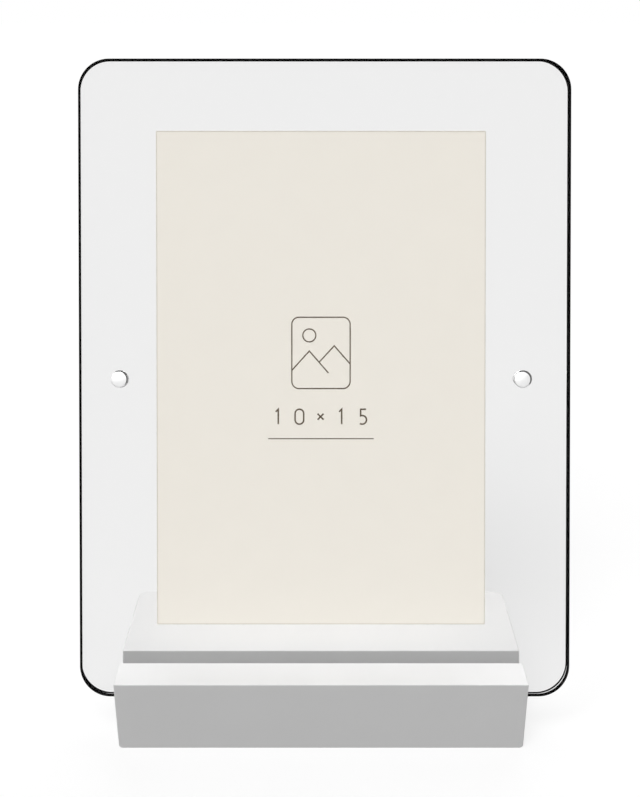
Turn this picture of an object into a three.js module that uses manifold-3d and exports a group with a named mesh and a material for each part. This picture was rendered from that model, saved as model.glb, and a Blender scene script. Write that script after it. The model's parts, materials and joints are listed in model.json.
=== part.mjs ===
// Free-standing photo block. Two clear acrylic sheets clamp a photo card between them by pairs
// of round magnets, and stand leaning back in a slanted slot across a solid block.
// Millimetres, +Z up, +X to the right, the front towards -Y.
// The origin is the middle of the block's underside.

import * as THREE from "three";
import { mergeVertices } from "three/addons/utils/BufferGeometryUtils.js";
import Module from "manifold-3d";

// Photo card, a standard 4 by 6 inch print
const CARD_WIDTH = 101.6;
const CARD_HEIGHT = 152.4;
const CARD_THICKNESS = 0.3;

// Clear sheets, alike at the front and at the back, with the card in their middle
const SIDE_MARGIN = 24.7; // card's side to the sheet's side
const END_MARGIN = 21.8; // card's top or bottom to the sheet's
const SHEET_THICKNESS = 2.5;
const SHEET_CORNER_RADIUS = 9.5;
const SHEET_EDGE_BEVEL = 0.2;

// Magnets, one on each side of the card in each sheet, at the card's mid-height
const MAGNET_DIAMETER = 4.7;
const MAGNET_RIM_RADIUS = 0.5;
const MAGNET_FROM_CARD = 11.3; // card's side to the magnet's axis
const MAGNET_RECESS = 0.05; // below both faces of its sheet

// Block
const BASE_WIDTH = 124;
const BASE_DEPTH = 51;
const BASE_HEIGHT = 23.6;
const BASE_REAR_CORNER_RADIUS = 3; // the upright corners at the back
const BASE_FOOT_CORNER_RADIUS = 1.2; // the lower edges at the left and the right

// Slot across the block, which leans back from the vertical
const LEAN_DEGREES = 21.5;
const SLOT_SETBACK = 10.6; // block's front face to the slot's front lip
const SLOT_DEPTH = 12; // along the slant, in the middle of the slot

// Clearances between pieces that touch on the real object
const CARD_GAP = 0.3; // card to each sheet
const MAGNET_GAP = 0.3; // magnet to the wall of its hole
const SLOT_GAP = 0.3; // sheets to the slot's walls and floor

// Steps of the round shapes
const CORNER_STEPS = 12; // on a quarter turn
const ROUND_STEPS = 32; // on a full turn
const RIM_STEPS = 3; // across a magnet's rim

// Worked out from the sizes above
const LEAN = THREE.MathUtils.degToRad(LEAN_DEGREES);
const SHEET_WIDTH = CARD_WIDTH + 2 * SIDE_MARGIN;
const SHEET_HEIGHT = CARD_HEIGHT + 2 * END_MARGIN;
const SHEET_FACE = CARD_THICKNESS / 2 + CARD_GAP; // card's middle to a sheet's inner face
const SLOT_WIDTH = 2 * (SHEET_FACE + SHEET_THICKNESS + SLOT_GAP);
const SLOT_MOUTH = SLOT_WIDTH / Math.cos(LEAN); // along the block's flat top
const SHEET_MIDDLE = SHEET_HEIGHT / 2 + SLOT_GAP - SLOT_DEPTH; // up the slant from the block's top
const MAGNET_OFFSET = CARD_WIDTH / 2 + MAGNET_FROM_CARD;
const HOLE_RADIUS = MAGNET_DIAMETER / 2 + MAGNET_GAP;

const clearAcrylic = new THREE.MeshStandardMaterial({
  color: 0xf3f6f6,
  roughness: 0.05,
  metalness: 0,
  transparent: true,
  opacity: 0.3,
});
const whitePlastic = new THREE.MeshStandardMaterial({ color: 0xeeeeee, roughness: 0.5, metalness: 0 });
const creamPaper = new THREE.MeshStandardMaterial({ color: 0xe8e4d9, roughness: 0.85, metalness: 0 });
const nickelPlate = new THREE.MeshStandardMaterial({ color: 0xd6d6d4, roughness: 0.15, metalness: 1 });

const wasm = await Module();
wasm.setup();

// A closed geometry as a solid that can be cut.
function toSolid(geometry) {
  const bare = geometry.clone();
  bare.deleteAttribute("normal");
  bare.deleteAttribute("uv");
  const merged = mergeVertices(bare, 1e-4);
  return new wasm.Manifold(
    new wasm.Mesh({
      numProp: 3,
      vertProperties: merged.attributes.position.array,
      triVerts: new Uint32Array(merged.index.array),
    }),
  );
}

// A cut solid as a geometry with flat faces.
function toGeometry(solid) {
  const mesh = solid.getMesh();
  const indexed = new THREE.BufferGeometry();
  indexed.setAttribute("position", new THREE.BufferAttribute(mesh.vertProperties, mesh.numProp));
  indexed.setIndex(new THREE.BufferAttribute(mesh.triVerts, 1));
  const geometry = indexed.toNonIndexed();
  geometry.computeVertexNormals();
  return geometry;
}

// Points round part of a circle, both ends included.
function arc(x, y, radius, start, turn, steps) {
  return Array.from({ length: steps + 1 }, (_, step) => {
    const angle = start + (turn * step) / steps;
    return new THREE.Vector2(x + radius * Math.cos(angle), y + radius * Math.sin(angle));
  });
}

// A rectangle about the origin. The radii are those of its bottom left, bottom right,
// top right and top left corners, and a corner with radius 0 is square.
function roundedRectangle(width, height, radii) {
  const signs = [[-1, -1], [1, -1], [1, 1], [-1, 1]];
  const points = signs.flatMap(([right, up], corner) => {
    const radius = radii[corner];
    const x = right * (width / 2 - radius);
    const y = up * (height / 2 - radius);
    const start = Math.PI * (1 + corner / 2);
    return radius > 0 ? arc(x, y, radius, start, Math.PI / 2, CORNER_STEPS) : [new THREE.Vector2(x, y)];
  });
  return new THREE.Shape(points);
}

// One clear sheet with a hole for each magnet. Its inner face is at z = 0, its outer one at +z.
function sheetGeometry() {
  const outline = roundedRectangle(SHEET_WIDTH, SHEET_HEIGHT, Array(4).fill(SHEET_CORNER_RADIUS));
  for (const x of [-MAGNET_OFFSET, MAGNET_OFFSET]) {
    outline.holes.push(new THREE.Path(arc(x, 0, HOLE_RADIUS, 0, -2 * Math.PI, ROUND_STEPS)));
  }
  const geometry = new THREE.ExtrudeGeometry(outline, {
    depth: SHEET_THICKNESS - 2 * SHEET_EDGE_BEVEL,
    bevelThickness: SHEET_EDGE_BEVEL,
    bevelSize: SHEET_EDGE_BEVEL,
    bevelOffset: -SHEET_EDGE_BEVEL,
    bevelSegments: 1,
  });
  return geometry.translate(0, 0, SHEET_EDGE_BEVEL);
}

// A disc magnet with a rounded rim. Its inner face is at z = 0, its outer one at +z.
function magnetGeometry() {
  const thickness = SHEET_THICKNESS - 2 * MAGNET_RECESS;
  const rim = MAGNET_RIM_RADIUS;
  const rimFromAxis = MAGNET_DIAMETER / 2 - rim;
  const profile = [
    new THREE.Vector2(0, 0),
    ...arc(rimFromAxis, rim, rim, -Math.PI / 2, Math.PI / 2, RIM_STEPS),
    ...arc(rimFromAxis, thickness - rim, rim, 0, Math.PI / 2, RIM_STEPS),
    new THREE.Vector2(0, thickness),
  ];
  return new THREE.LatheGeometry(profile, ROUND_STEPS).rotateX(Math.PI / 2);
}

// The photo card, about its own middle.
function cardGeometry() {
  return new THREE.BoxGeometry(CARD_WIDTH, CARD_HEIGHT, CARD_THICKNESS);
}

// The block. Its plan has round corners at the back, its front view has round lower corners,
// and the slot runs right across it along the slant.
function baseGeometry(slant) {
  const rear = BASE_REAR_CORNER_RADIUS;
  const foot = BASE_FOOT_CORNER_RADIUS;
  const plan = roundedRectangle(BASE_WIDTH, BASE_DEPTH, [0, 0, rear, rear]);
  const frontView = roundedRectangle(BASE_WIDTH, BASE_HEIGHT, [foot, foot, 0, 0]);
  const upright = new THREE.ExtrudeGeometry(plan, { bevelEnabled: false, depth: BASE_HEIGHT });
  const frontToBack = new THREE.ExtrudeGeometry(frontView, { bevelEnabled: false, depth: BASE_DEPTH })
    .rotateX(Math.PI / 2)
    .translate(0, BASE_DEPTH / 2, BASE_HEIGHT / 2);
  const cutterHeight = SLOT_DEPTH + BASE_HEIGHT; // reaches well above the block
  const slot = new THREE.BoxGeometry(2 * BASE_WIDTH, cutterHeight, SLOT_WIDTH)
    .translate(0, cutterHeight / 2 - SLOT_DEPTH, 0)
    .applyMatrix4(slant.matrix);
  return toGeometry(toSolid(upright).intersect(toSolid(frontToBack)).subtract(toSolid(slot)));
}

// Adds one named mesh to a group.
function addPiece(group, name, geometry, material) {
  const mesh = new THREE.Mesh(geometry, material);
  mesh.name = name;
  group.add(mesh);
  return mesh;
}

// The frame that the sheets, magnets and card share. Its origin is where the card's middle
// plane crosses the block's top, +Y runs up the slant and +Z points at the viewer.
function makeSlant() {
  const slant = new THREE.Group();
  slant.position.set(0, SLOT_SETBACK + SLOT_MOUTH / 2 - BASE_DEPTH / 2, BASE_HEIGHT);
  slant.rotation.x = Math.PI / 2 - LEAN;
  slant.updateMatrix();
  return slant;
}

// A sheet and its two magnets, with the outer face towards the viewer (1) or the back (-1).
function addLayer(slant, layer, facing) {
  const group = new THREE.Group();
  group.position.set(0, SHEET_MIDDLE, facing * SHEET_FACE);
  group.rotation.y = facing > 0 ? 0 : Math.PI;
  addPiece(group, `${layer}_sheet`, sheetGeometry(), clearAcrylic);
  for (const [side, x] of [["left", -MAGNET_OFFSET], ["right", MAGNET_OFFSET]]) {
    const magnet = addPiece(group, `${layer}_magnet_${side}`, magnetGeometry(), nickelPlate);
    magnet.position.set(facing * x, 0, MAGNET_RECESS);
  }
  slant.add(group);
}

const photoBlock = new THREE.Group();
const slant = makeSlant();
addPiece(photoBlock, "base", baseGeometry(slant), whitePlastic);
addLayer(slant, "front", 1);
addLayer(slant, "rear", -1);
addPiece(slant, "photo_card", cardGeometry(), creamPaper).position.y = SHEET_MIDDLE;
photoBlock.add(slant);

export default photoBlock;
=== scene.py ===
"""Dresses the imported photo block: clear sheets, printed card, plated magnets and a satin block.

Metres, +Z up, the front towards -Y. Every piece is made along the axes of what it replaces
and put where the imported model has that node.
"""

import json
import math
from itertools import pairwise

import bmesh
import bpy
from mathutils import Matrix, Vector


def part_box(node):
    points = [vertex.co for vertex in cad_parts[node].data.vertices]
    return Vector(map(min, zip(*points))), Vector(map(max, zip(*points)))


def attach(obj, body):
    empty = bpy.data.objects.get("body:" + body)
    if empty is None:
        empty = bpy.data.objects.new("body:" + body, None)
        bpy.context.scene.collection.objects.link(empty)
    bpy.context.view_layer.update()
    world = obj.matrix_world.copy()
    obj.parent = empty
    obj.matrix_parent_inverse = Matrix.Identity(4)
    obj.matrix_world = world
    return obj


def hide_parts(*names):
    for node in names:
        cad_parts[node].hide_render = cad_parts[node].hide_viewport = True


MM = 0.001

# The photograph's frame, and the camera fitted to it
PHOTO_LONG_SIDE = 797
FOCAL_PIXELS = 1009.1
CAMERA_SENSOR = 36.0
CAMERA_PLACE = (-0.0003, -0.2713, 0.2170)
CAMERA_DOWN = math.radians(22.34)
CAMERA_NEAR = 0.01
CAMERA_FAR = 50.0

# Light. A level of 1 on a surface that faces it renders the surface's own colour.
WORLD_LEVEL = 0.16
KEY_LEVEL = 0.98
KEY_ELEVATION = math.radians(58)
KEY_TURN = math.radians(-30)
KEY_SOFTNESS = math.radians(40)
BACK_LEVEL = 0.52
BACK_ELEVATION = math.radians(40)
BACK_TURN = math.radians(170)
BACK_SOFTNESS = math.radians(60)

# Floor. Its glow makes the open floor as white as the background.
FLOOR_SIZE = 12.0
FLOOR_COLOUR = 0.18
FLOOR_CLOUD = 0.002
FLOOR_WHITE = 1.012
KEY_ON_FLOOR = KEY_LEVEL * math.sin(KEY_ELEVATION)
BACK_ON_FLOOR = BACK_LEVEL * math.sin(BACK_ELEVATION)
FLOOR_GLOW = FLOOR_WHITE - FLOOR_COLOUR * (WORLD_LEVEL + KEY_ON_FLOOR + BACK_ON_FLOOR)

# Tones, as greys or as red, green and blue, on a scale of 0 to 255
BLOCK_TONES = (217, 219)
# The slot's walls are darker than the block: painted shade in the slot
SLOT_WALL_SHADE_TONES = (184, 186)
CARD_TONES = ((247, 242, 232), (249, 244, 234))
# A darker line along the card's edge is painted shade
CARD_EDGE_SHADE_TONES = ((214, 208, 196), (222, 216, 204))
INK_TONES = ((80, 67, 50), (98, 84, 67))
PLATING_TONES = (228, 233)
# Glue: dark where painted shade falls in the wider gap beside a magnet, pale elsewhere
GLUE_GAP_SHADE_TONES = (92, 106)
PALE_GLUE_TONE = 250
# The sheets' edges are painted dark as shade: near black, and a dark tone outside
NEAR_BLACK_TONES = (3, 12)
DARK_OUTER_EDGE_TONES = (16, 34)

# Clear sheets. The inner bevel is on the front sheet's rim that faces the card. The tints
# are of the light that goes through, and the mirror tint is of what shows in their faces,
# which is weaker than in real acrylic, as in the photograph.
SHEET_CORNER = 9.5 * MM
OUTER_BEVEL = 0.3 * MM
INNER_BEVEL = 0.47 * MM
FRONT_TINT = 0.96
REAR_TINT = 0.88
MIRROR_TINT = 0.2
ACRYLIC_IOR = 1.49
FRONT_HOLE_GAP = 0.3 * MM
REAR_HOLE_GAP = 0.02 * MM
CORNER_STEPS = 24
BEVEL_STEPS = 4

# Where the photograph has the sheets: both of them to the right of the block, the card and
# the magnets, and the front one moved a little with its magnets, the rear one the other way
SHEETS_ASIDE = Vector((1.0, 0, 0)) * MM
SHEET_SHIFT = Vector((0.13, -0.15, -0.2)) * MM

# Magnets. The front ones sit off the middle of their holes, and glue fills what is left.
MAGNET_RIM = 0.04 * MM
MAGNET_CROWN = 0.3 * MM
MAGNET_SHIFT = Vector((-0.22, -0.185, 0)) * MM
GLUE_RECESS = 0.1 * MM
GLUE_THICKNESS = 0.2 * MM
ROUND_STEPS = 72
CROWN_STEPS = 8

# From a magnet's axis to where the painted shade on its glue starts and where it is darkest,
# on the side that the magnet has moved away from
GAP_SHADE_STARTS = 0.1 * MM
GAP_SHADE_FULL = 1.0 * MM

# Block
SLOT_GAP = 0.3 * MM
REAR_CORNER = 3.0 * MM
FOOT_CORNER = 1.2 * MM
EDGE_ROUND = 0.22 * MM
SHARP_ANGLE = math.radians(30)
ALONG = 0.99999

# Card and what is printed on it
CARD_CORNER = 0.35 * MM
CARD_EDGE_LINE = 0.26 * MM
INK_LIFT = 0.012 * MM
INK_HEIGHT = 0.02 * MM
STROKE = 0.38 * MM
NUMERAL_STROKE = STROKE * 1.25
RULE_STROKE = STROKE * 0.8
MITRE_LIMIT = 0.3

# Material slots: of a sheet after its faces, of a magnet after its plating, of the block
# after its outside
DARK_RIM, CLEAR_RIM, DRILLED, POLISHED = range(1, 5)
GLUE = 1
MILLED_AND_SHADED = 1

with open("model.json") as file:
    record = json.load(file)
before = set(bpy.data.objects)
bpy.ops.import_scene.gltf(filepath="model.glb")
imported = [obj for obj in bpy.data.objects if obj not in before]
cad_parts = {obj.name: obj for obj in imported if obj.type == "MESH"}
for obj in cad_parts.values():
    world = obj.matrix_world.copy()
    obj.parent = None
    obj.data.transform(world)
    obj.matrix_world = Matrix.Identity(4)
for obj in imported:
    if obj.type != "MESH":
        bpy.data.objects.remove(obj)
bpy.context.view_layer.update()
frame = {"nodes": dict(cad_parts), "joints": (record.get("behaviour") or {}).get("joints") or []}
nodes = frame["nodes"]

RIGHT = Vector((1, 0, 0))
UP = Vector(frame["joints"][0]["axis"]).normalized()
OUT = RIGHT.cross(UP)
SLANT = Matrix((RIGHT, UP, OUT)).transposed()


def measured(node):
    """A slanted node's placing matrix, and its size to the right, up the slant and outwards."""
    points = [SLANT.transposed() @ v.co for v in nodes[node].data.vertices]
    low = Vector(min(p[i] for p in points) for i in range(3))
    high = Vector(max(p[i] for p in points) for i in range(3))
    return Matrix.Translation(SLANT @ ((low + high) / 2)) @ SLANT.to_4x4(), high - low


# Node trees


def new_material(name):
    material = bpy.data.materials.new(name)
    material.use_nodes = True
    tree = material.node_tree
    tree.nodes.clear()
    return material, tree


def add_node(tree, kind, inputs=None, **settings):
    """A node with its settings, and its inputs as values or as sockets to join."""
    node = tree.nodes.new(kind)
    for name, value in settings.items():
        setattr(node, name, value)
    for name, value in (inputs or {}).items():
        if isinstance(value, bpy.types.NodeSocket):
            tree.links.new(value, node.inputs[name])
        else:
            node.inputs[name].default_value = value
    return node


def show(tree, shader):
    """Makes a shader the material's surface."""
    output = add_node(tree, "ShaderNodeOutputMaterial")
    tree.links.new(shader, output.inputs["Surface"])


def principled(tree, inputs):
    return add_node(tree, "ShaderNodeBsdfPrincipled", inputs).outputs[0]


def mix_shaders(tree, amount, first, second):
    return add_node(tree, "ShaderNodeMixShader", {0: amount, 1: first, 2: second}).outputs[0]


def larger(tree, first, second):
    return add_node(tree, "ShaderNodeMath", {0: first, 1: second}, operation="MAXIMUM").outputs[0]


def noise(tree, scale, detail=2.0, roughness=0.5, stretch=(1, 1, 1)):
    """A noise value in the piece's own space. The scale is in lumps to a metre."""
    place = add_node(tree, "ShaderNodeTexCoord").outputs["Object"]
    mapped = add_node(tree, "ShaderNodeMapping", {"Vector": place, "Scale": stretch}).outputs[0]
    inputs = {"Vector": mapped, "Scale": scale, "Detail": detail, "Roughness": roughness}
    return add_node(tree, "ShaderNodeTexNoise", inputs).outputs["Fac"]


def between(tree, value, low, high, start=0.3, end=0.7):
    """Maps a value, by default one of noise, to a range of numbers."""
    inputs = {"Value": value, "From Min": start, "From Max": end, "To Min": low, "To Max": high}
    return add_node(tree, "ShaderNodeMapRange", inputs).outputs[0]


def bump(tree, height, distance, strength):
    inputs = {"Height": height, "Distance": distance, "Strength": strength}
    return add_node(tree, "ShaderNodeBump", inputs).outputs[0]


def linear(value):
    """A screen value of 0 to 1 as the amount of light that it stands for."""
    return value / 12.92 if value < 0.04045 else ((value + 0.055) / 1.055) ** 2.4


def colour(tone):
    """A colour from a tone, which is a grey or a red, a green and a blue."""
    values = tone if isinstance(tone, tuple) else (tone, tone, tone)
    return (*(linear(v / 255) for v in values), 1)


def blend_colours(tree, value, first, second):
    """A mix of two colours, each of which is a colour or a socket."""
    inputs = {0: value, 6: first, 7: second}
    return add_node(tree, "ShaderNodeMix", inputs, data_type="RGBA").outputs[2]


def mottled(tree, scale, detail, tones):
    """A colour that wanders between two tones."""
    patches = between(tree, noise(tree, scale, detail), 0, 1)
    return blend_colours(tree, patches, colour(tones[0]), colour(tones[1]))


# Materials


def clear_acrylic(name, tint, smooth=0.0, rough=0.05):
    """Clear acrylic. Lamps and the light between surfaces go straight through it."""
    material, tree = new_material(name)
    smudges = between(tree, noise(tree, 45, 4), smooth, rough)
    inputs = {"Base Color": (tint, tint, tint, 1), "Roughness": smudges, "IOR": ACRYLIC_IOR}
    mirror = (MIRROR_TINT, MIRROR_TINT, MIRROR_TINT, 1)
    inputs |= {"Transmission Weight": 1.0, "Specular Tint": mirror}
    straight = add_node(tree, "ShaderNodeBsdfTransparent", {"Color": (1, 1, 1, 1)}).outputs[0]
    path = add_node(tree, "ShaderNodeLightPath").outputs
    passes = larger(tree, path["Is Shadow Ray"], path["Is Diffuse Ray"])
    show(tree, mix_shaders(tree, passes, principled(tree, inputs), straight))
    return material


def edge_shader(tree, tones, mirror):
    """A dark shader between two tones, as strong a mirror as said."""
    gloss = between(tree, noise(tree, 2600, 3), 0.12, 0.3)
    inputs = {"Base Color": mottled(tree, 900, 3, tones), "Roughness": gloss}
    return principled(tree, inputs | {"Specular IOR Level": mirror})


def dark_rim(name):
    """The rounded rims of a sheet's edge, painted near black as the shade that refraction shows at
    a clear edge.
    """
    material, tree = new_material(name)
    show(tree, edge_shader(tree, NEAR_BLACK_TONES, 0.0))
    return material


def polished_edge(name):
    """The flat of a sheet's edge, painted as shade: near black without a mirror through the sheet,
    dark and polished outside.
    """
    material, tree = new_material(name)
    inside = add_node(tree, "ShaderNodeNewGeometry").outputs["Backfacing"]
    outer = edge_shader(tree, DARK_OUTER_EDGE_TONES, 0.5)
    inner = edge_shader(tree, NEAR_BLACK_TONES, 0.0)
    show(tree, mix_shaders(tree, inside, outer, inner))
    return material


def satin_plastic(name, tones, smooth, rough):
    """Moulded white plastic with a fine satin grain, between two roughnesses."""
    material, tree = new_material(name)
    gloss = between(tree, noise(tree, 1400, 3), smooth, rough)
    grain = bump(tree, noise(tree, 5200, 3, 0.6), 0.01 * MM, 0.5)
    inputs = {"Base Color": mottled(tree, 60, 3, tones), "Roughness": gloss}
    show(tree, principled(tree, inputs | {"Specular IOR Level": 0.2, "Normal": grain}))
    return material


def card_paper(name, tones):
    """Uncoated card: a faint cloudy tone, short fibres and a soft tooth."""
    material, tree = new_material(name)
    cloud = noise(tree, 120, 4, 0.6)
    fibre = noise(tree, 2600, 2, 0.5, (1, 0.22, 1))
    fleck = add_node(tree, "ShaderNodeMath", {0: cloud, 1: fibre}, operation="ADD").outputs[0]
    patches = between(tree, fleck, 0, 1, 0.7, 1.3)
    shade = blend_colours(tree, patches, colour(tones[0]), colour(tones[1]))
    tooth = bump(tree, fibre, 0.02 * MM, 0.35)
    inputs = {"Base Color": shade, "Roughness": 0.86, "Specular IOR Level": 0.25}
    show(tree, principled(tree, inputs | {"Normal": tooth}))
    return material


def printed_ink(name):
    material, tree = new_material(name)
    shade = mottled(tree, 3000, 2, INK_TONES)
    inputs = {"Base Color": shade, "Roughness": 0.7, "Specular IOR Level": 0.3}
    show(tree, principled(tree, inputs))
    return material


def nickel_plate(name):
    """Bright plating with a very fine satin grain."""
    material, tree = new_material(name)
    shade = mottled(tree, 800, 3, PLATING_TONES)
    gloss = between(tree, noise(tree, 4000, 3), 0.36, 0.42)
    show(tree, principled(tree, {"Base Color": shade, "Metallic": 1.0, "Roughness": gloss}))
    return material


def glue_with_gap_shade(name):
    """Pale glue, with painted shade that darkens it in the wider gap on the side the magnet has
    moved away from.
    """
    material, tree = new_material(name)
    place = add_node(tree, "ShaderNodeTexCoord").outputs["Object"]
    inputs = {0: place, 1: -MAGNET_SHIFT.normalized()}
    away = add_node(tree, "ShaderNodeVectorMath", inputs, operation="DOT_PRODUCT")
    # Painted shade of the wider gap beside the magnet
    shade_amount = between(tree, away.outputs["Value"], 0, 1, GAP_SHADE_STARTS, GAP_SHADE_FULL)
    shaded_tone = mottled(tree, 2500, 3, GLUE_GAP_SHADE_TONES)
    shade = blend_colours(tree, shade_amount, colour(PALE_GLUE_TONE), shaded_tone)
    inputs = {"Base Color": shade, "Roughness": 0.6, "Specular IOR Level": 0.2}
    show(tree, principled(tree, inputs))
    return material


# Meshes. Each is made about its own middle: x to the right, y up, z outwards.


def arc(x, y, radius, start, turn, steps):
    angles = [start + turn * i / steps for i in range(steps + 1)]
    return [(x + radius * math.cos(a), y + radius * math.sin(a)) for a in angles]


def circle(x, y, radius, steps=ROUND_STEPS, way=1):
    """Points round a circle, anticlockwise or, where way is -1, clockwise."""
    return arc(x, y, radius, 0, way * 2 * math.pi, steps)[:-1]


def rounded_outline(width, height, radius):
    """Points anticlockwise round a rectangle with round corners."""
    points = []
    for quarter, (side, end) in enumerate([(1, 1), (-1, 1), (-1, -1), (1, -1)]):
        x = side * (width / 2 - radius)
        y = end * (height / 2 - radius)
        points += arc(x, y, radius, quarter * math.pi / 2, math.pi / 2, CORNER_STEPS)
    return points


def rim_levels(thickness, rear, front):
    """Pairs of inset and height, from a slab's rear face round its edge to its front face."""
    half = thickness / 2
    turns = [math.pi / 2 * i / BEVEL_STEPS for i in range(BEVEL_STEPS + 1)]
    low = [(rear * (1 - math.sin(a)), rear * (1 - math.cos(a)) - half) for a in turns]
    high = [(front * (1 - math.sin(a)), half - front * (1 - math.cos(a))) for a in turns]
    return low + high[::-1]


def add_wall(bm, outline, levels, slots):
    """Faces round an outline from level to level. Returns the first and the last ring.

    outline(inset) gives the points, levels are pairs of inset and height, and slots are the
    material slots of the bands between them.
    """
    rings = [[bm.verts.new((x, y, z)) for x, y in outline(inset)] for inset, z in levels]
    for (lower, upper), slot in zip(pairwise(rings), slots, strict=True):
        for i in range(len(lower)):
            j = (i + 1) % len(lower)
            face = bm.faces.new((lower[i], lower[j], upper[j], upper[i]))
            face.smooth = True
            face.material_index = slot
    return rings[0], rings[-1]


def add_cap(bm, rings, facing):
    """A flat face inside a ring, with the other rings as holes."""
    edges = [bm.edges.get((ring[i - 1], ring[i])) for ring in rings for i in range(len(ring))]
    bmesh.ops.triangle_fill(bm, use_beauty=True, edges=edges, normal=(0, 0, facing))


def slab(size, corner, bevels, holes=(), slots=(0, 0, 0)):
    """A flat slab with round corners and rims. bevels are those of the rear and the front rim.

    holes are (x, radius) on its middle line, and slots are the material slots of the rear
    rim, the edge and the front rim.
    """
    bm = bmesh.new()
    levels = rim_levels(size.z, *bevels)
    hole_levels = [levels[0], levels[-1]]
    rear_rim, edge, front_rim = slots
    bands = [rear_rim] * BEVEL_STEPS + [edge] + [front_rim] * BEVEL_STEPS

    def outside(inset):
        return rounded_outline(size.x - 2 * inset, size.y - 2 * inset, corner - inset)

    walls = [add_wall(bm, outside, levels, bands)]
    for x, radius in holes:
        hole = circle(x, 0, radius, way=-1)
        walls.append(add_wall(bm, lambda _, hole=hole: hole, hole_levels, [DRILLED]))
    add_cap(bm, [rear for rear, _ in walls], -1)
    add_cap(bm, [front for _, front in walls], 1)
    return bm


def turned(profile):
    """A closed body turned about z. The profile's first and last points lie on the axis."""
    bm = bmesh.new()
    angles = [2 * math.pi * i / ROUND_STEPS for i in range(ROUND_STEPS)]
    rings = []
    for radius, z in profile[1:-1]:
        ring = [(radius * math.cos(a), radius * math.sin(a), z) for a in angles]
        rings.append([bm.verts.new(point) for point in ring])
    for lower, upper in pairwise(rings):
        for i in range(ROUND_STEPS):
            bm.faces.new((lower[i - 1], lower[i], upper[i], upper[i - 1]))
    for ring, (_, z) in ((rings[0], profile[0]), (rings[-1], profile[-1])):
        tip = bm.verts.new((0, 0, z))
        for i in range(ROUND_STEPS):
            bm.faces.new((ring[i - 1], ring[i], tip))
    for face in bm.faces:
        face.smooth = True
    return bm


def magnet_profile(radius, thickness):
    """Flat at the back, with a round rim and a slightly crowned front."""
    half = thickness / 2
    rim = MAGNET_RIM
    flat = radius - rim
    back = arc(radius - rim / 2, -half + rim / 2, rim / 2, -math.pi / 2, math.pi / 2, 6)
    front = arc(flat, half - MAGNET_CROWN - rim, rim, 0, math.pi / 2, 10)
    parts = [1 - i / CROWN_STEPS for i in range(1, CROWN_STEPS)]
    crown = [(flat * part, half - MAGNET_CROWN * part**2) for part in parts]
    return [(0, -half), *back, *front, *crown, (0, half)]


def add_glue(bm, radius, hole_middle, hole_radius, top):
    """A film of glue that fills what is left of the hole round a magnet."""
    inner = circle(0, 0, radius)
    outer = circle(hole_middle.x, hole_middle.y, hole_radius)
    rings = []
    for z in (top, top - GLUE_THICKNESS):
        for outline in (inner, outer):
            rings.append([bm.verts.new((x, y, z)) for x, y in outline])
    for a, b in ((0, 1), (1, 3), (3, 2), (2, 0)):
        for i in range(ROUND_STEPS):
            face = bm.faces.new((rings[a][i - 1], rings[a][i], rings[b][i], rings[b][i - 1]))
            face.material_index = GLUE


def block_side(low, high):
    """The corners of the block's side view with the slot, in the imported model's own space."""
    front_place, size = measured("front_sheet")
    rear_place, _ = measured("rear_sheet")
    reach = size.z / 2 + SLOT_GAP
    front_wall = front_place.translation.dot(OUT) + reach
    rear_wall = rear_place.translation.dot(OUT) - reach
    floor = front_place.translation.dot(UP) - size.y / 2 - SLOT_GAP

    def on_wall(wall, up):
        return OUT * wall + UP * up

    def lip(wall):
        return on_wall(wall, (high.z - OUT.z * wall) / UP.z)

    side = [Vector((0, low.y, low.z)), Vector((0, low.y, high.z)), lip(front_wall)]
    side += [on_wall(front_wall, floor), on_wall(rear_wall, floor), lip(rear_wall)]
    return side + [Vector((0, high.y, high.z)), Vector((0, high.y, low.z))]


def block_mesh():
    """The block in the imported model's own space: its side view drawn out across, then rounded."""
    low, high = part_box("base")
    near = MM / 100
    bm = bmesh.new()
    side = block_side(low, high)
    ends = [[bm.verts.new((x, p.y, p.z)) for p in side] for x in (low.x, high.x)]
    bm.faces.new(ends[0])
    bm.faces.new(ends[1])
    for i in range(len(side)):
        bm.faces.new((ends[0][i - 1], ends[0][i], ends[1][i], ends[1][i - 1]))
    bmesh.ops.recalc_face_normals(bm, faces=bm.faces)

    def edges_where(test):
        return [e for e in bm.edges if test(*(v.co for v in e.verts))]

    def round_edges(edges, radius, steps):
        size = {"offset": radius, "segments": steps, "profile": 0.5}
        bmesh.ops.bevel(bm, geom=edges, affect="EDGES", **size)

    def rear_upright(a, b):
        return min(a.y, b.y) > high.y - near and abs(a.x - b.x) < near

    def foot(a, b):
        return max(a.z, b.z) < low.z + near and abs(a.x - b.x) < near

    def above_foot(a, b):
        return max(a.z, b.z) > low.z + FOOT_CORNER or min(a.y, b.y) < 0

    round_edges(edges_where(rear_upright), REAR_CORNER, 14)
    round_edges(edges_where(foot), FOOT_CORNER, 6)
    sharp = [e for e in edges_where(above_foot) if e.calc_face_angle() > SHARP_ANGLE]
    round_edges(sharp, EDGE_ROUND, 3)
    bmesh.ops.remove_doubles(bm, verts=bm.verts, dist=MM / 1000)

    def faces_along(normal, directions):
        return max(abs(normal.dot(v)) for v in directions) > ALONG

    # The slot's walls and floor get a rougher plastic, darker by painted shade, and all that isn't
    # flat is shaded smooth
    slot_directions = [UP, OUT]
    flat_directions = [*Matrix.Identity(3), *slot_directions]
    for face in bm.faces:
        face.smooth = not faces_along(face.normal, flat_directions)
        face.material_index = MILLED_AND_SHADED if faces_along(face.normal, slot_directions) else 0
    return bm


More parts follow.
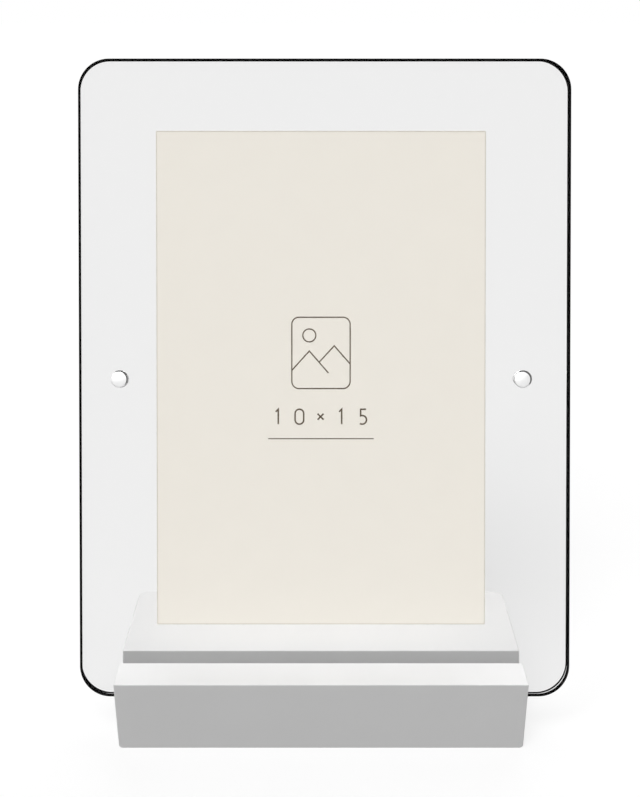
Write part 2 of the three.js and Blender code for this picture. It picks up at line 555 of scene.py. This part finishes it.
def ribbon(bm, points, width, closed=False):
    """A flat stroke of ink of even width along points, just above the card's face."""
    count = len(points)
    half = width / 2
    sides = []
    for i, (x, y) in enumerate(points):
        here = Vector((x, y))
        ahead = points[(i + 1) % count] if closed or i + 1 < count else None
        behind = points[i - 1] if closed or i > 0 else None
        first = here - Vector(behind) if behind else Vector(ahead) - here
        second = Vector(ahead) - here if ahead else first
        first.normalize()
        second.normalize()
        square = (first + second).normalized().orthogonal()
        reach = half / max(square.dot(first.orthogonal()), MITRE_LIMIT)
        sides.append((here + square * reach, here - square * reach))
    levels = (INK_LIFT, INK_LIFT + INK_HEIGHT)
    rings = [[bm.verts.new((*p, z)) for z in levels for p in pair] for pair in sides]
    pairs = list(pairwise(rings)) + ([(rings[-1], rings[0])] if closed else [])
    for a, b in pairs:
        for i, j in ((0, 1), (1, 3), (3, 2), (2, 0)):
            bm.faces.new((a[i], a[j], b[j], b[i]))
    if not closed:
        for ring in (rings[0], rings[-1]):
            bm.faces.new((ring[0], ring[1], ring[3], ring[2]))


def digit_strokes(left, middle, height):
    """The strokes of a thin ten-by-fifteen mark, as lists of points with whether each closes.

    The parts of a digit are shares of its height.
    """
    radius = height * 0.29
    top = middle + height / 2
    foot = middle - height / 2
    pitch = height * 1.42
    strokes = []

    def one(x):
        strokes.append(([(x - height * 0.17, top - height * 0.17), (x, top), (x, foot)], False))

    def nought(x):
        upper = arc(x, top - radius, radius, 0, math.pi, 16)
        lower = arc(x, foot + radius, radius, math.pi, math.pi, 16)
        strokes.append((upper + lower, True))

    def cross(x):
        reach = height * 0.2
        strokes.append(([(x - reach, middle - reach), (x + reach, middle + reach)], False))
        strokes.append(([(x - reach, middle + reach), (x + reach, middle - reach)], False))

    def five(x):
        bowl = arc(x - radius * 0.15, foot + radius, radius, math.pi * 0.62, -math.pi * 1.3, 20)
        flag = [(x + radius * 0.75, top), (x - radius * 0.5, top)]
        strokes.append((flag + bowl, False))

    for i, draw in enumerate((one, nought, cross, one, five)):
        draw(left + pitch * i)
    return strokes


def print_picture_mark(bm):
    """A generic mark of a picture: a frame with round corners, a sun and two hills."""
    middle = 7.9 * MM
    outline = rounded_outline(width=18 * MM, height=22 * MM, radius=2.2 * MM)
    ribbon(bm, [(x, y + middle) for x, y in outline], STROKE, closed=True)
    sun = circle(-3.6 * MM, middle + 5.4 * MM, radius=2.0 * MM, steps=40)
    ribbon(bm, sun, STROKE, closed=True)
    near_hill = [(-9.0, -5.4), (-3.6, 0.6), (2.3, -6.2)]
    far_hill = [(-0.6, -2.9), (4.1, 2.2), (9.0, -3.4)]
    for hill in (near_hill, far_hill):
        ribbon(bm, [(x * MM, y * MM + middle) for x, y in hill], STROKE)


def print_size(bm):
    """The size of the print in numerals, with a rule below."""
    numerals = digit_strokes(left=-13.2 * MM, middle=-11.8 * MM, height=4.6 * MM)
    for points, closed in numerals:
        ribbon(bm, points, NUMERAL_STROKE, closed)
    rule_reach = 16.3 * MM
    rule_up = -18.6 * MM
    ribbon(bm, [(-rule_reach, rule_up), (rule_reach, rule_up)], RULE_STROKE)


# Pieces


def add_mesh(name, bm, materials, place):
    mesh = bpy.data.meshes.new(name)
    bm.to_mesh(mesh)
    bm.free()
    for material in materials:
        mesh.materials.append(material)
    thing = bpy.data.objects.new(name, mesh)
    thing.matrix_world = place
    bpy.context.scene.collection.objects.link(thing)
    return thing


def add_piece(name, bm, materials, place, body, slot, *replaced):
    """A mesh piece in its place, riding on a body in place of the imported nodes."""
    bmesh.ops.recalc_face_normals(bm, faces=bm.faces)
    piece = add_mesh(name, bm, materials, place)
    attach(piece, body)
    if replaced:
        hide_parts(*replaced)
    return piece


def add_block():
    satin = satin_plastic("satin_block", BLOCK_TONES, 0.5, 0.6)
    # The slot walls' darker tone is painted shade
    milled_with_painted_shade = satin_plastic("slot_wall", SLOT_WALL_SHADE_TONES, 0.55, 0.65)
    place = Matrix.Identity(4)
    return add_piece("satin_block", block_mesh(), [satin, milled_with_painted_shade], place, "base", "block", "base")


def add_card():
    """The card, a darker line along its edge that is painted shade, and its print."""
    place, size = measured("photo_card")
    rim = size.z / 6
    paper = card_paper("cream_card", CARD_TONES)
    bm = slab(size, CARD_CORNER, (rim, rim))
    add_piece("cream_card", bm, [paper], place, "card", "card_paper", "photo_card")
    face = place @ Matrix.Translation((0, 0, size.z / 2))

    edge_bm = bmesh.new()
    inset = CARD_EDGE_LINE / 2 + rim
    outline = rounded_outline(size.x - 2 * inset, size.y - 2 * inset, CARD_CORNER / 2)
    ribbon(edge_bm, outline, CARD_EDGE_LINE, closed=True)
    # A line of painted shade along the card's edge
    card_edge_shade = card_paper("card_edge_painted_shade", CARD_EDGE_SHADE_TONES)
    add_piece("card_edge_line", edge_bm, [card_edge_shade], face, "card", "card_paper")

    ink_bm = bmesh.new()
    print_picture_mark(ink_bm)
    print_size(ink_bm)
    ink = printed_ink("brown_grey_ink")
    add_piece("card_print", ink_bm, [ink], face, "card", "card_paper")


def add_sheet(layer, facing, magnets, materials):
    """A clear sheet in its place in the photograph, with its holes where the magnets are."""
    node = f"{layer}_sheet"
    place, size = measured(node)
    gap = FRONT_HOLE_GAP if facing > 0 else REAR_HOLE_GAP
    holes = []
    for magnet in magnets:
        magnet_place, magnet_size = measured(magnet)
        middle = place.inverted() @ magnet_place.translation
        holes.append((middle.x - SHEETS_ASIDE.x, magnet_size.x / 2 + gap))
    # The dark rims and edge are painted shade at the sheets' edges
    slots = (DARK_RIM if facing > 0 else CLEAR_RIM, POLISHED, DARK_RIM)
    bevels = (INNER_BEVEL if facing > 0 else OUTER_BEVEL, OUTER_BEVEL)
    bm = slab(size, SHEET_CORNER, bevels, holes, slots)
    place = place @ Matrix.Translation(SHEET_SHIFT * facing + SHEETS_ASIDE)
    add_piece(f"{node}_clear", bm, materials, place, f"{layer}_panel", "clear_acrylic", node)


def add_magnet(node, layer, facing, materials):
    """A magnet with its flat towards the other sheet. The front ones show their glue, with painted
    shade on one side.
    """
    place, size = measured(node)
    place = place @ Matrix.Translation(SHEET_SHIFT * facing)
    bm = turned(magnet_profile(size.x / 2, size.z))
    if facing > 0:
        place = place @ Matrix.Translation(MAGNET_SHIFT)
        top = size.z / 2 - MAGNET_CROWN - MAGNET_RIM - GLUE_RECESS
        add_glue(bm, size.x / 2, -MAGNET_SHIFT, size.x / 2 + FRONT_HOLE_GAP, top)
    else:
        place = place @ Matrix.Rotation(math.pi, 4, "Y")
    add_piece(f"{node}_disc", bm, materials, place, f"{layer}_panel", "magnet_plating", node)


def add_layer(layer, facing, tint, edges, magnet_finish):
    """The front sheet or the rear one with its magnets. facing is 1 or -1."""
    acrylic = clear_acrylic(f"{layer}_acrylic", tint)
    magnets = [f"{layer}_magnet_{side}" for side in ("left", "right")]
    add_sheet(layer, facing, magnets, [acrylic, *edges])
    for magnet in magnets:
        add_magnet(magnet, layer, facing, magnet_finish)


# Stage


def seen_directly(tree):
    """1 for what the camera sees, straight or through mirrors and glass."""
    path = add_node(tree, "ShaderNodeLightPath").outputs
    either = larger(tree, path["Is Camera Ray"], path["Is Glossy Ray"])
    return larger(tree, either, path["Is Transmission Ray"])


def add_world():
    """White to the camera and in mirrors and glass, and a plain even level for lighting."""
    world = bpy.data.worlds.new("studio")
    bpy.context.scene.world = world
    world.use_nodes = True
    tree = world.node_tree
    tree.nodes.clear()
    level = between(tree, seen_directly(tree), WORLD_LEVEL, 1.0, 0, 1)
    light = {"Color": (1, 1, 1, 1), "Strength": level}
    background = add_node(tree, "ShaderNodeBackground", light).outputs[0]
    output = add_node(tree, "ShaderNodeOutputWorld")
    tree.links.new(background, output.inputs["Surface"])


def add_floor():
    """Matt paper that keeps the object's shadow. Its glow is seen but doesn't light anything."""
    material, tree = new_material("floor_paper")
    cloud = noise(tree, 30, 2)
    tone = between(tree, cloud, FLOOR_COLOUR - FLOOR_CLOUD, FLOOR_COLOUR + FLOOR_CLOUD)
    matt = add_node(tree, "ShaderNodeBsdfDiffuse", {"Color": tone}).outputs[0]
    strength = between(tree, seen_directly(tree), 0, FLOOR_GLOW, 0, 1)
    light = add_node(tree, "ShaderNodeEmission", {"Strength": strength}).outputs[0]
    show(tree, add_node(tree, "ShaderNodeAddShader", {0: matt, 1: light}).outputs[0])
    bm = bmesh.new()
    half = FLOOR_SIZE / 2
    corners = [(-half, -half, 0), (half, -half, 0), (half, half, 0), (-half, half, 0)]
    bm.faces.new([bm.verts.new(corner) for corner in corners])
    add_mesh("floor", bm, [material], Matrix.Identity(4))


def add_lamp(name, level, elevation, turn, softness, mirrored):
    """A broad soft light that is equally strong all over the floor."""
    lamp = bpy.data.lights.new(name, "SUN")
    lamp.angle = softness
    lamp.energy = level * math.pi
    holder = bpy.data.objects.new(name, lamp)
    holder.rotation_euler = (math.pi / 2 - elevation, 0, turn)
    holder.visible_glossy = mirrored
    holder.visible_transmission = False
    bpy.context.scene.collection.objects.link(holder)
    return holder


def add_lamps(block):
    """The key, and a weaker light from behind.

    The card doesn't shade the block from the key, because it doesn't in the photograph: the
    block has a key of its own, which nothing else blocks.
    """
    key_light = (KEY_LEVEL, KEY_ELEVATION, KEY_TURN, KEY_SOFTNESS)
    key = add_lamp("key", *key_light, mirrored=True)
    key_on_block = add_lamp("key_on_block", *key_light, mirrored=True)
    add_lamp("back_light", BACK_LEVEL, BACK_ELEVATION, BACK_TURN, BACK_SOFTNESS, mirrored=False)
    only_block = bpy.data.collections.new("only_block")
    only_block.objects.link(block)
    key_on_block.light_linking.receiver_collection = only_block
    key_on_block.light_linking.blocker_collection = only_block
    all_else = bpy.data.collections.new("all_else")
    all_else.objects.link(block)
    all_else.collection_objects[0].light_linking.link_state = "EXCLUDE"
    key.light_linking.receiver_collection = all_else


def add_camera():
    camera = bpy.data.cameras.new("camera")
    camera.sensor_width = CAMERA_SENSOR
    camera.lens = FOCAL_PIXELS * CAMERA_SENSOR / PHOTO_LONG_SIDE
    camera.clip_start = CAMERA_NEAR
    camera.clip_end = CAMERA_FAR
    holder = bpy.data.objects.new("camera", camera)
    holder.location = CAMERA_PLACE
    holder.rotation_euler = (math.pi / 2 - CAMERA_DOWN, 0, 0)
    bpy.context.scene.collection.objects.link(holder)
    bpy.context.scene.camera = holder


bpy.context.scene.view_settings.view_transform = "Standard"
add_camera()
add_world()
add_floor()

# In the order of the material slots
sheet_edges = [
    dark_rim("dark_rim"),
    clear_acrylic("clear_rim", 1.0),
    clear_acrylic("drilled_acrylic", 1.0, 0.55, 0.65),
    polished_edge("polished_edge"),
]
magnet_finish = [nickel_plate("nickel_plate"), glue_with_gap_shade("glue_with_gap_shade")]
add_lamps(add_block())
add_card()
add_layer("front", 1, FRONT_TINT, sheet_edges, magnet_finish)
add_layer("rear", -1, REAR_TINT, sheet_edges, magnet_finish)
